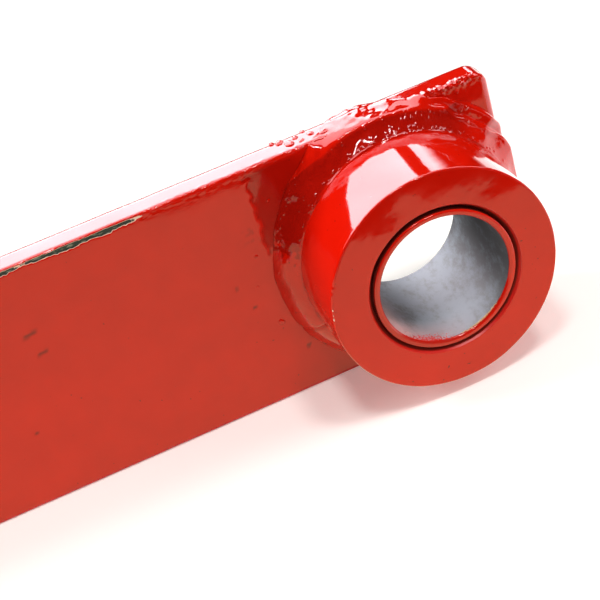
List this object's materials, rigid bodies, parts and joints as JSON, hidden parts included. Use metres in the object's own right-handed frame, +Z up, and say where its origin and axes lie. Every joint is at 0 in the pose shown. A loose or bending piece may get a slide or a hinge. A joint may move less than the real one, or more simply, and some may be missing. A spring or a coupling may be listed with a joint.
{
  "type": "bushed link arm",
  "caption": "Flat steel link arm with a short welded pivot boss and pressed-in bush standing out from the same face at each end.",
  "frame": {"origin": "on the pivot axis of the near eye, at the middle of its bush's length", "axes": "+X along the bar from the far eye towards the near eye, +Y along the pivot axis from the eyes' front faces towards the bar's back face, +Z up across the bar's height"},
  "size_m": [0.475, 0.043, 0.08],
  "materials": {
    "red_paint": "glossy enamel, thick over the welds, with a little orange peel, dirt and a few chips",
    "bush_steel": "bare satin grey bore with a little red overspray at the mouth; front edge painted over"
  },
  "bodies": {
    "root": {"arm_bar": "red_paint", "near_boss": "red_paint", "near_bush": "bush_steel", "near_weld_upper_run": "red_paint", "near_weld_lower_run": "red_paint", "far_boss": "red_paint", "far_bush": "bush_steel", "far_weld_upper_run": "red_paint", "far_weld_lower_run": "red_paint"}
  },
  "joints": []
}
